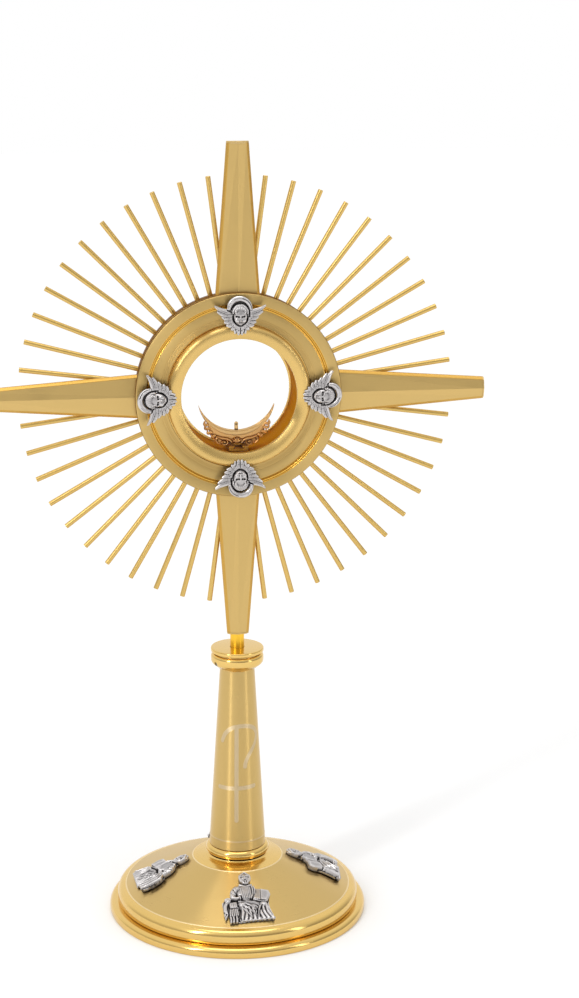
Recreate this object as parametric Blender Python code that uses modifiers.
"""Monstrance: a sunburst stand with a glazed drum for the host, on a tapered stem and a round foot.

Metres, +Z up. The origin is the centre of the foot's underside, and the front faces -Y.
"""

import math

import bmesh
import bpy
from mathutils import Matrix, Vector

# Clearances, and the broken edge of turned pieces
SEAT = 0.0003
RUN = 0.0004
EDGE = 0.0008

# Foot
FOOT_R = 0.111
FOOT_RING_H = 0.0083
FOOT_RING_WALL = 0.026
FOOT_RING_ROUND = 0.0045
TIER_LEDGE = 0.0068
TIER_ROUND = 0.0062
TIER_TOP_Z = 0.0212
TIER_LIP_W = 0.0012
TIER_LIP_H = 0.0016
DOME_WALL = 0.002
DOME_TOP_R = 0.0385
DOME_TOP_Z = 0.0468
NECK_R = 0.0255
NECK_Z = 0.0502
NECK_FLARE_W = 0.0048
NECK_FLARE_H = 0.0018
NECK_FILLET_W = 0.0014
NECK_FILLET_H = 0.0009
BASE_STEPS = 36

# Stem
BEAD_R = 0.0273
BEAD_H = 0.0082
CONE_H = 0.1595
CONE_R_LOW = 0.0242
CONE_R_TOP = 0.0147
CONE_WALL = 0.0018
COLLAR_R = 0.0224
COLLAR_H = 0.0115
COLLAR_LIP = 0.0012
DISC_R = 0.0225
DISC_H = 0.0058
DISC_NECK_R = 0.0202
DISC_NECK_H = 0.0014
DISC_EDGE = 0.0012
SOCKET_R = 0.0095
SOCKET_DEPTH = 0.045
SPIGOT_R = 0.0059
SPIGOT_IN_SOCKET = 0.036
TIE_R = 0.004
TIE_BELOW_NUT = 0.004
WASHER_R = 0.018
WASHER_H = 0.0025
NUT_ACROSS = 0.013
NUT_H = 0.0065
GRUB_R = 0.0018
GRUB_SUNK = 0.0016
GRUB_TURN = math.radians(-62)
STEM_STEPS = 24

# Glory, with depths measured forward from the plane of the rays
GLORY_Z = 0.4568
RAY_TIP_R = 0.180
RAY_ROOT_R = 0.0815
RAY_R = 0.0021
RAYS_PER_FAN = 11
RAY_PITCH = math.radians(7.5)
CARRIER_R = 0.0865
CARRIER_HALF = 0.003
ARM_TIP = 0.207
ARM_ROOT = 0.066
ARM_W_RING = 0.0362
ARM_W_TIP = 0.0182
ARM_RIDGE = 0.0096
ARM_EDGE = 0.0072
ARM_SHEET = 0.0012
RING_R = 0.0853
RING_RIM_IN = 0.0762
RING_BAND_OUT = 0.0742
RING_RIM_FWD = 0.0142
RING_BAND_FWD = 0.0124
RING_WALL = 0.002
RIM_ROUND = 0.0016
BEZEL_R = 0.0595
BEZEL_FWD = 0.0198
BEZEL_ROUND = 0.0042
BEZEL_SLOPE_W = 0.0040
BEZEL_SLOPE_H = 0.0022
WINDOW_R = 0.048
GLASS_WALL = 0.002
GLASS_R = 0.0515
DRUM_WALL = 0.0025
DRUM_BACK = 0.0190
DRUM_SHOULDER_R = 0.060
DRUM_SHOULDER_H = 0.0022
RING_STEPS = 32

# Rear frame and door
FRAME_R = 0.0585
FRAME_H = 0.004
DOOR_R = 0.0575
DOOR_IN_R = 0.0465
DOOR_H = 0.0036
DOOR_GAP = 0.0004
DOOR_RIM_W = 0.003
RETAINER_H = 0.0014
HINGE_X = 0.0625
KNUCKLE_R = 0.0026
PIN_R = 0.0012
PIN_PROUD = 0.0006
PIN_HOLE_REACH = 0.03
DOOR_KNUCKLE_H = 0.012
FRAME_KNUCKLE_H = 0.007
KNOB_R = 0.0032
KNOB_LEN = 0.0082
KNOB_NECK_R = 0.0016
KNOB_NECK_H = 0.0019
KNOB_FLANGE_R = 0.0025
KNOB_FLANGE_H = 0.0006
LUG_INSET = 0.0005
CATCH_W = 0.009
CATCH_SHEET = 0.0012

# Lunula, with heights measured from the glory's centre
CRESCENT_IN_R = 0.033
CRESCENT_IN_Z = 0.003
CRESCENT_OUT_R = 0.0308
CRESCENT_OUT_Z = -0.0052
CRESCENT_SHEET = 0.0012
HOST_GAP = 0.0018
LUNULA_Y = 0.002
TAB_W = 0.0032
TAB_TOP = -0.0235
TAB_THIN = 0.00012
JAW_PIN_Z = -0.0385
JAW_PIN_R = 0.0009
JAW_LUG_R = 0.0021
JAW_LUG_W = 0.005
JAW_EAR_W = 0.0018
STRAP_LAP = 0.002
SCROLL_HALF_W = 0.0262
SCROLL_SHEET = 0.0024
SCROLL_FOOT_GAP = 0.0025
SCROLL_LEAF_IN = 0.012
SCROLL_LEAF_OUT = 0.0245
SCROLL_LEAF_RISE = 0.0048
SCROLL_LEAF_LIFT = 0.0006
SCROLL_LEAF_POINTS = 5
RAIL_TOP = -0.0432
RAIL_W = 0.016
RAIL_SLOT_W = 0.0075
RAIL_SLOT_FLARE = 0.0016
RAIL_SLOT_H = 0.0021
RUNNER_LEN = 0.010
RAIL_FRONT_GAP = 0.0024
RAIL_REAR_GAP = 0.0012

# Cast cherubs, with forms measured outward from the point of the breast
CAST_SINK = 0.0004
CHERUB_W = 0.0417
CHERUB_IN_R = 0.0497
CHERUB_OUT_R = 0.0822
CHERUB_PLATE = 0.0022
CHERUB_STUD_R = 0.003
CHERUB_STUD_AT = 0.0680
CHERUB_HOOD_R = 0.0113
CHERUB_HOOD_W = 0.0026
CHERUB_HOOD_H = 0.0030
CHERUB_HEAD = (0.0063, 0.0085, 0.0038)
CHERUB_HEAD_Y = 0.0168
CHERUB_WING = (0.0068, 0.0042, 0.0018)
CHERUB_WING_X = 0.0122
CHERUB_WING_Y = 0.0178
CHERUB_BREAST = (0.0042, 0.0056, 0.0014)
CHERUB_BREAST_Y = 0.0066
CHERUB_TIP_Y = 0.0240
CHERUB_FEATHER_Y = 0.0218
CHERUB_FEATHERS = 5
CHERUB_FEATHER_DEPTH = 0.0012

# Cast evangelists on the dome's slope
FIGURE_TOP_GAP = 0.004
FIGURE_FOOT_GAP = 0.0055
FIGURE_W = 0.046
FIGURE_PLATE = 0.0016
FIGURE_PROUD = 0.0012
FIGURE_DEEP = 0.0092
BOOK_W = 0.0130
BOOK_H = 0.0160
BOOK_H_LOW = 0.41
BOOK_X = 0.24
BOOK_PROUD = 0.0030


# Places worked out from the sizes
TIER_R = FOOT_R - TIER_LEDGE
TIER_ROUND_R = TIER_R - TIER_ROUND
TIER_ROUND_Z = TIER_TOP_Z - TIER_ROUND
DOME_SLOPE = math.atan2(DOME_TOP_Z - TIER_TOP_Z, TIER_ROUND_R - DOME_TOP_R)
FIGURE_TOP_R = DOME_TOP_R + FIGURE_TOP_GAP
FIGURE_FOOT_R = TIER_ROUND_R - FIGURE_FOOT_GAP
NECK_UNDER_Z = NECK_Z - NECK_FLARE_H - DOME_WALL
BEAD_Z = NECK_Z + SEAT
CONE_Z = BEAD_Z + BEAD_H + SEAT
COLLAR_Z = CONE_Z + CONE_H + SEAT
DISC_Z = COLLAR_Z + COLLAR_H + SEAT
DISC_TOP = DISC_Z + DISC_H
SOCKET_BOTTOM = DISC_TOP - SOCKET_DEPTH
SPIGOT_Z = DISC_TOP - SPIGOT_IN_SOCKET
DRUM_R = WINDOW_R + DRUM_WALL
CARRIER_IN_R = DRUM_R + SEAT
SPIGOT_TOP = GLORY_Z - CARRIER_R - SEAT
RING_BACK_FWD = RING_BAND_FWD - RING_WALL
GLASS_BACK = RING_BAND_FWD + SEAT
BEZEL_BACK = RING_BAND_FWD + SEAT
DOOR_FWD = -DRUM_BACK - DOOR_GAP
HINGE_Y = DRUM_BACK + DOOR_GAP + DOOR_H / 2
DOOR_GLASS_R = DOOR_R - DOOR_RIM_W
CRESCENT_BACK_Y = LUNULA_Y + CRESCENT_SHEET + HOST_GAP


for old in list(bpy.data.objects):
    bpy.data.objects.remove(old, do_unlink=True)


def collection(name):
    made = bpy.data.collections.new(name)
    bpy.context.scene.collection.children.link(made)
    return made


PARTS = collection("monstrance")
CUTTERS = collection("monstrance_cutters")


def material(name, colour, roughness, metallic):
    made = bpy.data.materials.new(name)
    made.use_nodes = True
    shader = made.node_tree.nodes["Principled BSDF"]
    shader.inputs["Base Color"].default_value = (*colour, 1.0)
    shader.inputs["Roughness"].default_value = roughness
    shader.inputs["Metallic"].default_value = metallic
    return made


SATIN_GOLD = material("satin_gold", (0.64, 0.42, 0.13), 0.34, 1.0)
BRIGHT_GOLD = material("bright_gold", (0.72, 0.48, 0.15), 0.14, 1.0)
ROSE_GOLD = material("rose_gold", (0.70, 0.40, 0.20), 0.22, 1.0)
OLD_SILVER = material("old_silver", (0.42, 0.41, 0.42), 0.42, 1.0)
STEEL = material("steel", (0.40, 0.40, 0.41), 0.35, 1.0)
CLEAR_GLASS = material("clear_glass", (0.90, 0.95, 0.95), 0.04, 0.0)


def add_object(name, mesh, finish, place=None, home=None):
    made = bpy.data.objects.new(name, mesh)
    if finish:
        mesh.materials.append(finish)
    if place is not None:
        made.matrix_world = place
    (home or PARTS).objects.link(made)
    return made


def smooth(mesh, angle=40):
    mesh.shade_smooth()
    mesh.set_sharp_from_angle(angle=math.radians(angle))


def baked(source, name, finish=None, home=None):
    """The evaluated shape of an object as a plain closed mesh object, which replaces it."""
    bpy.context.view_layer.update()
    graph = bpy.context.evaluated_depsgraph_get()
    mesh = bpy.data.meshes.new_from_object(source.evaluated_get(graph))
    mesh.materials.clear()
    body = bmesh.new()
    body.from_mesh(mesh)
    bmesh.ops.remove_doubles(body, verts=body.verts, dist=1e-6)
    bmesh.ops.recalc_face_normals(body, faces=body.faces)
    body.to_mesh(mesh)
    body.free()
    place = source.matrix_world.copy()
    bpy.data.objects.remove(source, do_unlink=True)
    made = add_object(name, mesh, finish, place, home)
    smooth(mesh)
    return made


def join(target, tool):
    """Unite target with tool at once, and remove the tool."""
    step = target.modifiers.new("join", "BOOLEAN")
    step.operation = "UNION"
    step.solver = "EXACT"
    step.object = tool
    bpy.context.view_layer.update()
    graph = bpy.context.evaluated_depsgraph_get()
    mesh = bpy.data.meshes.new_from_object(target.evaluated_get(graph))
    target.modifiers.clear()
    old = target.data
    target.data = mesh
    bpy.data.meshes.remove(old)
    bpy.data.objects.remove(tool, do_unlink=True)
    smooth(target.data)


def cut(target, tool):
    """Cut target with a tool that stays among the cutters."""
    tool.hide_render = True
    tool.display_type = "WIRE"
    step = target.modifiers.new("cut_" + tool.name, "BOOLEAN")
    step.operation = "DIFFERENCE"
    step.solver = "EXACT"
    step.object = tool


def arc(centre, radius, start, end, count):
    """Points on a circle arc in a profile plane, angles in degrees."""
    points = []
    for i in range(count + 1):
        angle = math.radians(start + (end - start) * i / count)
        points.append((centre[0] + radius * math.cos(angle), centre[1] + radius * math.sin(angle)))
    return points


FORWARD = Matrix.Rotation(math.radians(90), 4, "X")


def upright(y=0.0):
    """Place for a piece across Y, or turned about the drum's axis: local +Z points to the front."""
    return Matrix.Translation((0, y, GLORY_Z)) @ FORWARD


def signed_area(points):
    total = 0.0
    for (x0, y0), (x1, y1) in zip(points, points[1:] + points[:1]):
        total += x0 * y1 - x1 * y0
    return total / 2


def turned(name, profile, finish, steps, place=None, home=None):
    """A solid of revolution about local Z. The profile is a loop, or starts and ends on the axis."""
    if signed_area(profile) > 0:
        profile = list(reversed(profile))
    on_axis = [i for i, point in enumerate(profile) if abs(point[0]) < 1e-9]
    closed = not on_axis
    if on_axis:
        while not (abs(profile[0][0]) < 1e-9 and abs(profile[-1][0]) < 1e-9):
            profile = profile[1:] + profile[:1]
    mesh = bpy.data.meshes.new(name)
    edges = [(i, i + 1) for i in range(len(profile) - 1)]
    if closed:
        edges.append((len(profile) - 1, 0))
    mesh.from_pydata([(r, 0.0, h) for r, h in profile], edges, [])
    made = add_object(name, mesh, None, place, home)
    screw = made.modifiers.new("turn", "SCREW")
    screw.steps = steps
    screw.render_steps = steps
    screw.use_merge_vertices = True
    screw.merge_threshold = 1e-5
    made.matrix_world = place or Matrix()
    return baked(made, name, finish, home)


def rod(name, radius, start, end, finish, steps=24, home=None):
    """A straight round bar between two points."""
    start, end = Vector(start), Vector(end)
    body = bmesh.new()
    bmesh.ops.create_cone(body, cap_ends=True, segments=steps, radius1=radius, radius2=radius,
                          depth=(end - start).length)
    mesh = bpy.data.meshes.new(name)
    body.to_mesh(mesh)
    body.free()
    smooth(mesh)
    turn = (end - start).to_track_quat("Z", "Y").to_matrix().to_4x4()
    return add_object(name, mesh, finish, Matrix.Translation((start + end) / 2) @ turn, home)


def block(name, low, high, finish=None, home=None):
    """A plain box between two corners."""
    low, high = Vector(low), Vector(high)
    body = bmesh.new()
    bmesh.ops.create_cube(body, size=1.0)
    bmesh.ops.scale(body, vec=high - low, verts=body.verts)
    mesh = bpy.data.meshes.new(name)
    body.to_mesh(mesh)
    body.free()
    return add_object(name, mesh, finish, Matrix.Translation((low + high) / 2), home)


def whole_faces(mesh):
    """Merge the triangles of each flat side into one face."""
    body = bmesh.new()
    body.from_mesh(mesh)
    bmesh.ops.dissolve_limit(body, angle_limit=math.radians(0.1), verts=body.verts, edges=body.edges)
    body.to_mesh(mesh)
    body.free()


def plate(name, outline, thickness, finish, place):
    """A flat outline, extruded evenly about its local XY plane."""
    curve = bpy.data.curves.new(name, "CURVE")
    curve.dimensions = "2D"
    curve.fill_mode = "BOTH"
    curve.extrude = thickness / 2
    spline = curve.splines.new("POLY")
    spline.points.add(len(outline) - 1)
    spline.use_cyclic_u = True
    for point, (x, y) in zip(spline.points, outline):
        point.co = (x, y, 0.0, 1.0)
    made = bpy.data.objects.new(name, curve)
    PARTS.objects.link(made)
    made.matrix_world = place
    made = baked(made, name, finish)
    whole_faces(made.data)
    return made


def lump(name, centre, radii, place, rings=4, segments=8):
    """A rounded lump: a sphere with three radii."""
    body = bmesh.new()
    bmesh.ops.create_uvsphere(body, u_segments=segments, v_segments=rings, radius=1.0)
    bmesh.ops.scale(body, vec=Vector(radii), verts=body.verts)
    mesh = bpy.data.meshes.new(name)
    body.to_mesh(mesh)
    body.free()
    return add_object(name, mesh, None, place @ Matrix.Translation(centre))


# Foot

def dome_outline(offset=0.0):
    """The dome's outer profile from its neck down to the tier's lower edge, moved out by offset."""
    lift = offset / math.cos(DOME_SLOPE)
    points = [
        (NECK_R + offset, NECK_Z),
        (NECK_R + NECK_FILLET_W + offset, NECK_Z - NECK_FILLET_H),
        (NECK_R + NECK_FLARE_W, NECK_Z - NECK_FLARE_H + lift),
        (DOME_TOP_R, DOME_TOP_Z + lift),
    ]
    shoulder = 90 - math.degrees(DOME_SLOPE)
    centre = (TIER_ROUND_R, TIER_ROUND_Z)
    points += arc(centre, TIER_ROUND + offset, shoulder, 0, 4)
    return points


def foot_ring():
    low, high = FOOT_R - FOOT_RING_WALL, FOOT_R
    edge = FOOT_RING_ROUND
    profile = [(low, 0.0), (low, FOOT_RING_H)]
    profile += arc((high - edge, FOOT_RING_H - edge), edge, 90, 0, 3)
    profile += [(high, EDGE), (high - EDGE, 0.0)]
    turned("foot_ring", profile, BRIGHT_GOLD, BASE_STEPS)


def foot_dome():
    low = FOOT_RING_H + SEAT
    outer = dome_outline() + [(TIER_R, low + TIER_LIP_H), (TIER_R - TIER_LIP_W, low)]
    wall = DOME_WALL
    inner = [
        (TIER_R - TIER_LIP_W - wall, low),
        (TIER_R - wall, TIER_ROUND_Z),
        (TIER_ROUND_R, TIER_TOP_Z - wall - EDGE),
        (DOME_TOP_R, DOME_TOP_Z - wall / math.cos(DOME_SLOPE)),
        (NECK_R, NECK_UNDER_Z),
        (TIE_R + RUN, NECK_UNDER_Z),
        (TIE_R + RUN, NECK_Z),
    ]
    turned("foot_dome", outer + inner, SATIN_GOLD, BASE_STEPS)


# Stem

def stem_bead():
    mid = BEAD_Z + BEAD_H / 2
    round_r = BEAD_H / 2
    profile = [(TIE_R + RUN, BEAD_Z), (TIE_R + RUN, BEAD_Z + BEAD_H)]
    profile += arc((BEAD_R - round_r, mid), round_r, 90, -90, 6)
    turned("stem_bead", profile, BRIGHT_GOLD, STEM_STEPS)


def stem_cone():
    top = CONE_Z + CONE_H
    profile = [
        (CONE_R_LOW - CONE_WALL, CONE_Z),
        (CONE_R_TOP - CONE_WALL, top),
        (CONE_R_TOP, top),
        (CONE_R_LOW, CONE_Z + EDGE / 2),
        (CONE_R_LOW - EDGE / 2, CONE_Z),
    ]
    turned("stem_cone", profile, SATIN_GOLD, STEM_STEPS)


def grub_line():
    """The collar's middle, and the way that the grub screw points from it."""
    middle = Vector((0, 0, COLLAR_Z + COLLAR_H / 2))
    return middle, Vector((math.sin(GRUB_TURN), -math.cos(GRUB_TURN), 0.0))


def stem_collar():
    middle, out = grub_line()
    round_r = COLLAR_H / 2 - COLLAR_LIP
    bore = SOCKET_R + SEAT
    profile = [(bore, COLLAR_Z), (bore, COLLAR_Z + COLLAR_H)]
    profile += [(COLLAR_R - round_r - COLLAR_LIP, COLLAR_Z + COLLAR_H)]
    profile += arc((COLLAR_R - round_r, middle.z), round_r, 90, -90, 6)
    profile += [(CONE_R_TOP + COLLAR_LIP, COLLAR_Z)]
    collar = turned("stem_collar", profile, BRIGHT_GOLD, STEM_STEPS)
    start, end = middle + out * (SOCKET_R - GRUB_R), middle + out * (COLLAR_R + GRUB_R)
    cut(collar, rod("grub_hole", GRUB_R + SEAT, start, end, None, 14, CUTTERS))


def grub_screw():
    middle, out = grub_line()
    start, end = middle + out * (SOCKET_R + 2 * SEAT), middle + out * (COLLAR_R - GRUB_SUNK)
    rod("grub_screw", GRUB_R, start, end, STEEL, 14)


def socket_disc():
    bore = SPIGOT_R + SEAT
    floor = SPIGOT_Z - SEAT
    profile = [
        (0.0, floor),
        (bore, floor),
        (bore, DISC_TOP),
        (DISC_R - DISC_EDGE, DISC_TOP),
        (DISC_R, DISC_TOP - DISC_EDGE),
        (DISC_R, DISC_Z + DISC_NECK_H + DISC_EDGE),
        (DISC_R - EDGE, DISC_Z + DISC_NECK_H + EDGE / 2),
        (DISC_NECK_R, DISC_Z + DISC_NECK_H),
        (DISC_NECK_R, DISC_Z),
        (SOCKET_R, DISC_Z),
        (SOCKET_R, SOCKET_BOTTOM),
        (0.0, SOCKET_BOTTOM),
    ]
    turned("socket_disc", profile, BRIGHT_GOLD, STEM_STEPS)


def tie_parts():
    under = NECK_UNDER_Z - SEAT
    washer_low = under - WASHER_H
    nut_low = washer_low - SEAT - NUT_H
    washer = [(TIE_R + RUN, washer_low), (TIE_R + RUN, under), (WASHER_R, under), (WASHER_R, washer_low)]
    turned("tie_washer", washer, STEEL, 24)
    rod("tie_rod", TIE_R, (0, 0, nut_low - TIE_BELOW_NUT), (0, 0, SOCKET_BOTTOM - SEAT), STEEL, 20)
    nut = rod("tie_nut", NUT_ACROSS / math.sqrt(3), (0, 0, nut_low), (0, 0, nut_low + NUT_H), STEEL, 6)
    start, end = (0, 0, nut_low - NUT_H), (0, 0, nut_low + 2 * NUT_H)
    cut(nut, rod("nut_hole", TIE_R + RUN, start, end, None, 20, CUTTERS))


def spigot():
    rod("spigot", SPIGOT_R, (0, 0, SPIGOT_Z), (0, 0, SPIGOT_TOP), BRIGHT_GOLD, 24)


# Glory

def ray_fan(name, middle):
    """A quarter of the carrier ring with its rays, centred on an angle clockwise from the top."""
    half = math.radians(45) - SEAT / CARRIER_R
    start, end = 90 - math.degrees(middle + half), 90 - math.degrees(middle - half)
    outline = arc((0, 0), CARRIER_R, start, end, 12) + arc((0, 0), CARRIER_IN_R, end, start, 8)
    fan = plate(name, outline, 2 * CARRIER_HALF, BRIGHT_GOLD, upright())
    for i in range(RAYS_PER_FAN):
        angle = middle + (i - (RAYS_PER_FAN - 1) / 2) * RAY_PITCH
        out = Vector((math.sin(angle), 0, math.cos(angle)))
        centre = Vector((0, 0, GLORY_Z))
        ray = rod("ray", RAY_R, centre + out * RAY_ROOT_R, centre + out * RAY_TIP_R, None, 10)
        join(fan, ray)


def arm(name, turn, spigot_room):
    """A folded sheet arm: a shallow roof with two bent edges and a closed end."""
    rows = []
    slope = (ARM_W_TIP - ARM_W_RING) / (ARM_TIP - RING_R)
    back = CARRIER_HALF + SEAT
    for along in (ARM_ROOT, ARM_TIP):
        half = (ARM_W_RING + slope * (along - RING_R)) / 2
        rows.append([(-half, back), (-half, ARM_EDGE), (0.0, ARM_RIDGE), (half, ARM_EDGE), (half, back)])
    body = bmesh.new()
    verts = []
    for along, row in zip((ARM_ROOT, ARM_TIP), rows):
        verts.append([body.verts.new((x, -forward, along)) for x, forward in row])
    for i in range(4):
        body.faces.new((verts[0][i], verts[0][i + 1], verts[1][i + 1], verts[1][i]))
    body.faces.new(list(reversed(verts[1])))
    bmesh.ops.recalc_face_normals(body, faces=body.faces)
    mesh = bpy.data.meshes.new(name)
    body.to_mesh(mesh)
    body.free()
    made = add_object(name, mesh, None, Matrix.Translation((0, 0, GLORY_Z)) @ Matrix.Rotation(turn, 4, "Y"))
    shell = made.modifiers.new("sheet", "SOLIDIFY")
    shell.thickness = ARM_SHEET
    shell.offset = -1.0
    shell.use_even_offset = True
    cut(baked(made, name, SATIN_GOLD), spigot_room)


def front_ring():
    rim, band, wall = RING_RIM_FWD, RING_BAND_FWD, RING_WALL
    profile = [
        (DRUM_R + SEAT, band),
        (RING_BAND_OUT, band),
        (RING_RIM_IN, rim),
        *arc((RING_R - RIM_ROUND, rim - RIM_ROUND), RIM_ROUND, 90, 0, 2),
        (RING_R, rim - wall - EDGE / 2),
        (RING_RIM_IN, rim - wall),
        (RING_BAND_OUT, band - wall),
        (DRUM_R + SEAT, band - wall),
    ]
    turned("front_ring", profile, SATIN_GOLD, RING_STEPS, upright())


def inner_bezel():
    crest = BEZEL_FWD
    pocket = GLASS_BACK + GLASS_WALL + SEAT
    crown = arc((BEZEL_R - BEZEL_ROUND, crest - BEZEL_ROUND), BEZEL_ROUND, 0, 90, 3)
    inner = [(WINDOW_R + BEZEL_SLOPE_W, crest - BEZEL_SLOPE_H / 4), (WINDOW_R, crest - BEZEL_SLOPE_H)]
    profile = [(BEZEL_R, BEZEL_BACK)] + crown + inner
    profile += [(WINDOW_R, pocket), (GLASS_R + SEAT, pocket), (GLASS_R + SEAT, BEZEL_BACK)]
    turned("inner_bezel", profile, BRIGHT_GOLD, RING_STEPS, upright())


def glass_disc(name, radius, back):
    profile = [(0.0, back + GLASS_WALL), (radius, back + GLASS_WALL), (radius, back), (0.0, back)]
    turned(name, profile, CLEAR_GLASS, RING_STEPS, upright())


def drum():
    front, rear = RING_BAND_FWD, -DRUM_BACK
    shoulder = RING_BACK_FWD - SEAT
    profile = [
        (WINDOW_R, front),
        (DRUM_R, front),
        (DRUM_R, shoulder),
        (DRUM_SHOULDER_R, shoulder),
        (DRUM_SHOULDER_R, shoulder - DRUM_SHOULDER_H),
        (DRUM_R, shoulder - DRUM_SHOULDER_H),
        (DRUM_R, rear),
        (WINDOW_R, rear),
    ]
    turned("drum", profile, BRIGHT_GOLD, RING_STEPS, upright())


# Cast cherubs on the ring

def feather_edge(count, start, end, depth):
    """A row of rounded feather tips along a straight line, as points of an outline."""
    start, end = Vector(start), Vector(end)
    along = end - start
    normal = Vector((along.y, -along.x)).normalized()
    points = []
    for i in range(count):
        for t in (0.2, 0.8):
            bulge = depth * math.sin(math.pi * t)
            spot = start + along * ((i + t) / count) + normal * bulge
            points.append((spot.x, spot.y))
    return points


def cherub(name, turn):
    """A winged head under a rolled hood. Local +Y points outward from the window, local +Z to the front."""
    half = CHERUB_W / 2
    back = BEZEL_FWD + SEAT
    hood_y = CHERUB_OUT_R - CHERUB_HOOD_R
    right = [(half, CHERUB_IN_R + CHERUB_TIP_Y)]
    right += feather_edge(CHERUB_FEATHERS, (half, CHERUB_IN_R + CHERUB_FEATHER_Y), (0.0, CHERUB_IN_R),
                          CHERUB_FEATHER_DEPTH)
    left = [(-x, y) for x, y in reversed(right)]
    outline = right + left + arc((0, hood_y), CHERUB_HOOD_R, 172, 8, 9)
    place = Matrix.Translation((0, 0, GLORY_Z)) @ Matrix.Rotation(turn, 4, "Y") @ FORWARD
    base = place @ Matrix.Translation((0, 0, back + CHERUB_PLATE / 2))
    made = plate(name, outline, CHERUB_PLATE, OLD_SILVER, base)
    front = back + CHERUB_PLATE - CAST_SINK
    hood = arc((0, hood_y), CHERUB_HOOD_R - CAST_SINK, -8, 188, 9)
    hood += arc((0, hood_y), CHERUB_HOOD_R - CHERUB_HOOD_W, 186, -6, 7)
    join(made, plate("hood", hood, CHERUB_HOOD_H, None, place @ Matrix.Translation((0, 0, front))))
    join(made, lump("head", (0, CHERUB_IN_R + CHERUB_HEAD_Y, front), CHERUB_HEAD, place, 6, 10))
    join(made, lump("breast", (0, CHERUB_IN_R + CHERUB_BREAST_Y, front), CHERUB_BREAST, place))
    for side in (-1, 1):
        spot = (side * CHERUB_WING_X, CHERUB_IN_R + CHERUB_WING_Y, front)
        join(made, lump("wing", spot, CHERUB_WING, place))
    stud_low = Vector((0, CHERUB_STUD_AT, RING_BAND_FWD + SEAT))
    stud_high = Vector((0, CHERUB_STUD_AT, back + CHERUB_PLATE / 2))
    join(made, rod("stud", CHERUB_STUD_R, place @ stud_low, place @ stud_high, None, 12))


# Cast evangelists on the dome

def figure_outline():
    """Outline of a seated robed figure with a book and an attendant, head up, one wide and one high."""
    right = [(-0.03, 1.0), (0.03, 0.92), (0.03, 0.81), (0.11, 0.77), (0.20, 0.73), (0.40, 0.72), (0.42, 0.57)]
    right += [(0.40, 0.40), (0.46, 0.13), (0.50, 0.0)]
    left = [(-0.48, 0.0), (-0.50, 0.30), (-0.48, 0.50), (-0.40, 0.55), (-0.30, 0.60), (-0.23, 0.76)]
    left += [(-0.18, 0.81), (-0.21, 0.91), (-0.15, 1.0)]
    return right + left


def figure_forms():
    """Rounded masses of the figure: place in its outline, then radii."""
    head = ((-0.09, 0.89), (0.0050, 0.0064, 0.0032))
    torso = ((-0.08, 0.63), (0.0100, 0.0100, 0.0030))
    left_knee = ((-0.20, 0.38), (0.0074, 0.0066, 0.0034))
    right_knee = ((0.25, 0.36), (0.0066, 0.0060, 0.0032))
    robe = ((0.05, 0.18), (0.0165, 0.0086, 0.0026))
    attendant_head = ((-0.39, 0.45), (0.0036, 0.0040, 0.0028))
    attendant = ((-0.40, 0.22), (0.0044, 0.0090, 0.0024))
    return head, torso, left_knee, right_knee, robe, attendant_head, attendant


def dome_cutter():
    """The space of the dome with its seat clearance, to shape the back of the figures."""
    outer = dome_outline(SEAT)
    profile = [(0.0, NECK_Z)] + outer + [(TIER_R + SEAT, -TIER_TOP_Z), (0.0, -TIER_TOP_Z)]
    return turned("dome_space", profile, None, BASE_STEPS, None, CUTTERS)


def evangelist(name, turn, side, dome_space):
    """A seated figure on the slope, or its mirror image. Local +Y runs up the slope, local +Z out of it."""
    height = (FIGURE_FOOT_R - FIGURE_TOP_R) / math.cos(DOME_SLOPE)
    mid_r = (FIGURE_FOOT_R + FIGURE_TOP_R) / 2
    mid_z = DOME_TOP_Z - (mid_r - DOME_TOP_R) * math.tan(DOME_SLOPE)
    place = Matrix.Rotation(turn, 4, "Z") @ Matrix.Translation((0, -mid_r, mid_z))
    place = place @ Matrix.Rotation(DOME_SLOPE, 4, "X")

    def spot(x, y):
        return side * x * FIGURE_W, (y - 0.5) * height

    face = FIGURE_PROUD + FIGURE_PLATE
    front = face - CAST_SINK
    base = place @ Matrix.Translation((0, 0, face - FIGURE_DEEP / 2))
    made = plate(name, [spot(x, y) for x, y in figure_outline()], FIGURE_DEEP, OLD_SILVER, base)
    for at, radii in figure_forms():
        join(made, lump("form", (*spot(*at), front), radii, place))
    book_x, book_y = spot(BOOK_X, BOOK_H_LOW)
    book = block("book", (book_x - BOOK_W / 2, book_y, FIGURE_PROUD),
                 (book_x + BOOK_W / 2, book_y + BOOK_H, face + BOOK_PROUD))
    book.matrix_world = place @ book.matrix_world
    join(made, book)
    cut(made, dome_space)


# Rear frame and door

def knuckle(name, low, high):
    start, end = (HINGE_X, HINGE_Y, GLORY_Z + low), (HINGE_X, HINGE_Y, GLORY_Z + high)
    return rod(name, KNUCKLE_R, start, end, None, 16)


def pin_hole():
    axis = Vector((HINGE_X, HINGE_Y, GLORY_Z))
    reach = Vector((0, 0, PIN_HOLE_REACH))
    return rod("pin_hole", PIN_R + RUN, axis - reach, axis + reach, None, 14, CUTTERS)


def frame_knuckle_span():
    low = DOOR_KNUCKLE_H / 2 + RUN
    return low, low + FRAME_KNUCKLE_H


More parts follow.
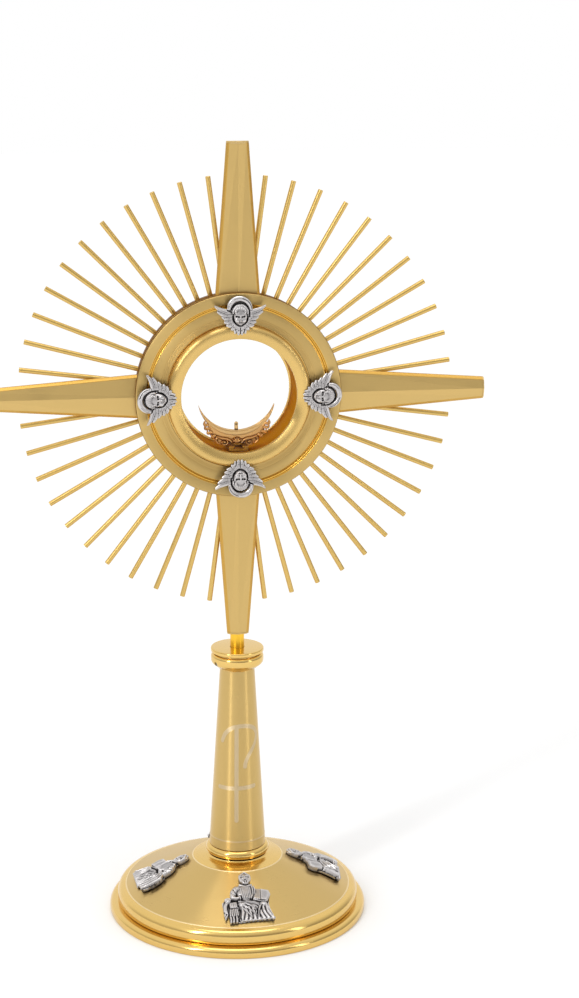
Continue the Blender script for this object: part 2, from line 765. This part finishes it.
def rear_frame(hole):
    rear = -DRUM_BACK
    bore = DRUM_R + SEAT
    profile = [(bore, rear), (bore, rear + FRAME_H), (FRAME_R, rear + FRAME_H), (FRAME_R, rear)]
    made = turned("rear_frame", profile, BRIGHT_GOLD, RING_STEPS, upright())
    low, high = frame_knuckle_span()
    for side in (-1, 1):
        ends = sorted((side * low, side * high))
        arm_out = HINGE_X + KNUCKLE_R / 2
        front_y = DRUM_BACK - FRAME_H + LUG_INSET
        join(made, block("lug", (FRAME_R - FRAME_H, front_y, GLORY_Z + ends[0]),
                         (arm_out, DRUM_BACK - LUG_INSET, GLORY_Z + ends[1])))
        join(made, block("post", (DOOR_R + 3 * LUG_INSET, front_y + LUG_INSET, GLORY_Z + ends[0] + LUG_INSET),
                         (arm_out - LUG_INSET, HINGE_Y, GLORY_Z + ends[1] - LUG_INSET)))
        join(made, knuckle("knuckle", *ends))
    cut(made, hole)


def hinge_pin():
    axis = Vector((HINGE_X, HINGE_Y, GLORY_Z))
    reach = Vector((0, 0, frame_knuckle_span()[1] + 2 * PIN_PROUD))
    rod("hinge_pin", PIN_R, axis - reach, axis + reach, STEEL, 14)


def door_frame(hole):
    front = DOOR_FWD
    rear = front - DOOR_H
    seat = rear + GLASS_WALL + SEAT
    profile = [
        (DOOR_IN_R, front),
        (DOOR_R, front),
        (DOOR_R, rear + EDGE),
        (DOOR_R - EDGE, rear),
        (DOOR_GLASS_R + SEAT, rear),
        (DOOR_GLASS_R + SEAT, seat),
        (DOOR_IN_R, seat),
    ]
    made = turned("door_frame", profile, BRIGHT_GOLD, RING_STEPS, upright())
    half = DOOR_KNUCKLE_H / 2
    lug = block("lug", (DOOR_R - DOOR_H / 2, HINGE_Y - DOOR_H / 2 + LUG_INSET, GLORY_Z - half + LUG_INSET),
                (HINGE_X, HINGE_Y + DOOR_H / 2 - LUG_INSET, GLORY_Z + half - LUG_INSET))
    join(made, lug)
    join(made, knuckle("knuckle", -half, half))
    cut(made, hole)


def door_retainer():
    front = DOOR_FWD - DOOR_H - SEAT
    profile = [
        (DOOR_IN_R + EDGE, front),
        (DOOR_R - EDGE, front),
        (DOOR_R - 2 * EDGE, front - RETAINER_H),
        (DOOR_IN_R + 2 * EDGE, front - RETAINER_H),
    ]
    turned("door_retainer", profile, BRIGHT_GOLD, RING_STEPS, upright())


def door_knob():
    at = -(DOOR_R + DOOR_IN_R) / 2
    low = DOOR_H + RETAINER_H + 2 * SEAT
    profile = [(0.0, KNOB_LEN)]
    profile += arc((0.0, KNOB_LEN - KNOB_R), KNOB_R, 70, -50, 4)
    profile += [(KNOB_NECK_R, KNOB_NECK_H), (KNOB_FLANGE_R, KNOB_FLANGE_H), (KNOB_FLANGE_R, 0.0), (0.0, 0.0)]
    back = Matrix.Rotation(math.radians(-90), 4, "X")
    place = Matrix.Translation((at, DRUM_BACK + DOOR_GAP + low, GLORY_Z)) @ back
    turned("door_knob", profile, BRIGHT_GOLD, 16, place)


def door_catch():
    """A springy tongue beside the door's free edge, fixed to the rear frame."""
    x = -(FRAME_R + SEAT)
    block("door_catch", (x - CATCH_SHEET, DRUM_BACK - FRAME_H, GLORY_Z - CATCH_W / 2),
          (x, DRUM_BACK + DOOR_GAP + DOOR_H, GLORY_Z + CATCH_W / 2), STEEL)


# Lunula

def crescent_outline():
    """Two arcs that meet at the horn tips, as a loop in the glory's plane."""
    gap = CRESCENT_IN_Z - CRESCENT_OUT_Z
    drop = (CRESCENT_IN_R ** 2 - CRESCENT_OUT_R ** 2 - gap ** 2) / (2 * gap)
    tip = math.degrees(math.asin(drop / CRESCENT_OUT_R))
    tip_in = math.degrees(math.asin((drop + gap) / CRESCENT_IN_R))
    outer = arc((0, CRESCENT_OUT_Z), CRESCENT_OUT_R, 180 + tip, 360 - tip, 20)
    inner = arc((0, CRESCENT_IN_Z), CRESCENT_IN_R, 360 - tip_in, 180 + tip_in, 20)
    return outer + inner[1:-1]


def lunula_front():
    mid = LUNULA_Y + CRESCENT_SHEET / 2
    plate("lunula_front", crescent_outline(), CRESCENT_SHEET, ROSE_GOLD, upright(mid))


def lunula_rear():
    mid = CRESCENT_BACK_Y + CRESCENT_SHEET / 2
    made = plate("lunula_rear", crescent_outline(), CRESCENT_SHEET, ROSE_GOLD, upright(mid))
    low = CRESCENT_IN_Z - CRESCENT_IN_R - EDGE
    tab = [(TAB_W / 2, low), (TAB_W / 2, TAB_TOP - TAB_W / 2)]
    tab += arc((0, TAB_TOP - TAB_W / 2), TAB_W / 2, 0, 180, 6)
    tab += [(-TAB_W / 2, low)]
    join(made, plate("tab", tab, CRESCENT_SHEET - TAB_THIN, None, upright(mid)))
    strap_top = CRESCENT_OUT_Z - CRESCENT_OUT_R + STRAP_LAP
    strap = block("strap", (-JAW_LUG_W / 2, CRESCENT_BACK_Y, GLORY_Z + JAW_PIN_Z),
                  (JAW_LUG_W / 2, CRESCENT_BACK_Y + CRESCENT_SHEET, GLORY_Z + strap_top))
    join(made, strap)
    axis = Vector((0, jaw_pin_y(), GLORY_Z + JAW_PIN_Z))
    side = Vector((JAW_LUG_W / 2, 0, 0))
    join(made, rod("lug", JAW_LUG_R, axis - side, axis + side, None, 16))
    cut(made, rod("jaw_hole", JAW_PIN_R + RUN, axis - 2 * side, axis + 2 * side, None, 14, CUTTERS))


def jaw_pin_y():
    return CRESCENT_BACK_Y + CRESCENT_SHEET / 2


def bracket_ear_span():
    low = JAW_LUG_W / 2 + RUN
    return low, low + JAW_EAR_W


def jaw_pin():
    axis = Vector((0, jaw_pin_y(), GLORY_Z + JAW_PIN_Z))
    side = Vector((bracket_ear_span()[1] + PIN_PROUD, 0, 0))
    rod("jaw_pin", JAW_PIN_R, axis - side, axis + side, STEEL, 14)


def scroll_outline():
    """The leafy bracket under the crescent: its top follows the crescent, its foot the drum."""
    reach = CRESCENT_OUT_R + SEAT
    top_angle = math.degrees(math.asin(SCROLL_HALF_W / reach))
    top = arc((0, CRESCENT_OUT_Z), reach, 270 - top_angle, 270 + top_angle, 14)
    foot_r = WINDOW_R - SCROLL_FOOT_GAP
    right = []
    for i in range(SCROLL_LEAF_POINTS):
        t = 1 - i / (SCROLL_LEAF_POINTS - 1)
        x = SCROLL_LEAF_IN + (SCROLL_LEAF_OUT - SCROLL_LEAF_IN) * t
        right.append((x, -math.sqrt(foot_r ** 2 - x ** 2) + SCROLL_LEAF_LIFT + SCROLL_LEAF_RISE * t ** 2))
    middle = [(RAIL_SLOT_W, RAIL_TOP + RUN), (-RAIL_SLOT_W, RAIL_TOP + RUN)]
    left = [(-x, z) for x, z in reversed(right)]
    return top + right + middle + left


def slot_half(z):
    """Half the width of the rail's dovetail slot at a height."""
    return (RAIL_SLOT_W - RAIL_SLOT_FLARE) / 2 + RAIL_SLOT_FLARE * (RAIL_TOP - z) / RAIL_SLOT_H


def runner_outline():
    """The dovetail foot of the bracket, a running clearance smaller than the slot."""
    low = RAIL_TOP - RAIL_SLOT_H + RUN
    neck = slot_half(RAIL_TOP) - RUN
    foot = slot_half(low) - RUN
    top = RAIL_TOP + 2 * RUN
    return [(-neck, top), (-neck, RAIL_TOP), (-foot, low), (foot, low), (neck, RAIL_TOP), (neck, top)]


def lunula_bracket():
    mid = LUNULA_Y + SCROLL_SHEET / 2
    made = plate("lunula_bracket", scroll_outline(), SCROLL_SHEET, ROSE_GOLD, upright(mid))
    join(made, plate("runner", runner_outline(), RUNNER_LEN, None, upright(mid)))
    low, high = bracket_ear_span()
    for side in (-1, 1):
        ends = sorted((side * low, side * high))
        ear = block("ear", (ends[0], LUNULA_Y + SCROLL_SHEET - CAST_SINK, GLORY_Z + JAW_PIN_Z - JAW_LUG_R),
                    (ends[1], jaw_pin_y() + JAW_LUG_R, GLORY_Z + JAW_PIN_Z + JAW_LUG_R - LUG_INSET))
        join(made, ear)
    axis = Vector((0, jaw_pin_y(), GLORY_Z + JAW_PIN_Z))
    room = Vector((low, 0, 0))
    cut(made, rod("lug_room", JAW_LUG_R + RUN, axis - room, axis + room, None, 16, CUTTERS))
    reach = Vector((2 * high, 0, 0))
    cut(made, rod("ear_hole", JAW_PIN_R + SEAT, axis - reach, axis + reach, None, 14, CUTTERS))


def lunula_rail():
    bore = WINDOW_R - SEAT
    half = RAIL_W / 2
    edge = math.degrees(math.asin(half / bore))
    outline = arc((0, 0), bore, 270 - edge, 270 + edge, 8)
    mouth = slot_half(RAIL_TOP)
    floor = RAIL_TOP - RAIL_SLOT_H
    outline += [(half, RAIL_TOP), (mouth, RAIL_TOP), (slot_half(floor), floor)]
    outline += [(-slot_half(floor), floor), (-mouth, RAIL_TOP), (-half, RAIL_TOP)]
    front = RING_BAND_FWD - RAIL_FRONT_GAP
    rear = -DRUM_BACK + RAIL_REAR_GAP
    plate("lunula_rail", outline, front - rear, BRIGHT_GOLD, upright(-(front + rear) / 2))


def build():
    foot_ring()
    foot_dome()
    stem_bead()
    stem_cone()
    stem_collar()
    socket_disc()
    grub_screw()
    tie_parts()
    spigot()
    quarter = math.pi / 2
    for i, name in enumerate(("upper_right", "lower_right", "lower_left", "upper_left")):
        ray_fan("ray_fan_" + name, quarter * (i + 0.5))
    below_arm = (0, 0, GLORY_Z - ARM_TIP - ARM_W_TIP)
    spigot_room = rod("spigot_room", SPIGOT_R + SEAT, below_arm, (0, 0, SPIGOT_TOP), None, 20, CUTTERS)
    for i, name in enumerate(("top", "right", "bottom", "left")):
        arm("arm_" + name, quarter * i, spigot_room)
        cherub("cherub_" + name, quarter * i)
    dome_space = dome_cutter()
    for i, name in enumerate(("front", "right", "back", "left")):
        evangelist("evangelist_" + name, quarter * i, 1 if i % 2 == 0 else -1, dome_space)
    front_ring()
    inner_bezel()
    glass_disc("front_glass", GLASS_R, GLASS_BACK)
    drum()
    hinge_hole = pin_hole()
    rear_frame(hinge_hole)
    hinge_pin()
    door_frame(hinge_hole)
    glass_disc("door_glass", DOOR_GLASS_R, DOOR_FWD - DOOR_H)
    door_retainer()
    door_knob()
    door_catch()
    lunula_rail()
    lunula_bracket()
    lunula_front()
    lunula_rear()
    jaw_pin()


build()
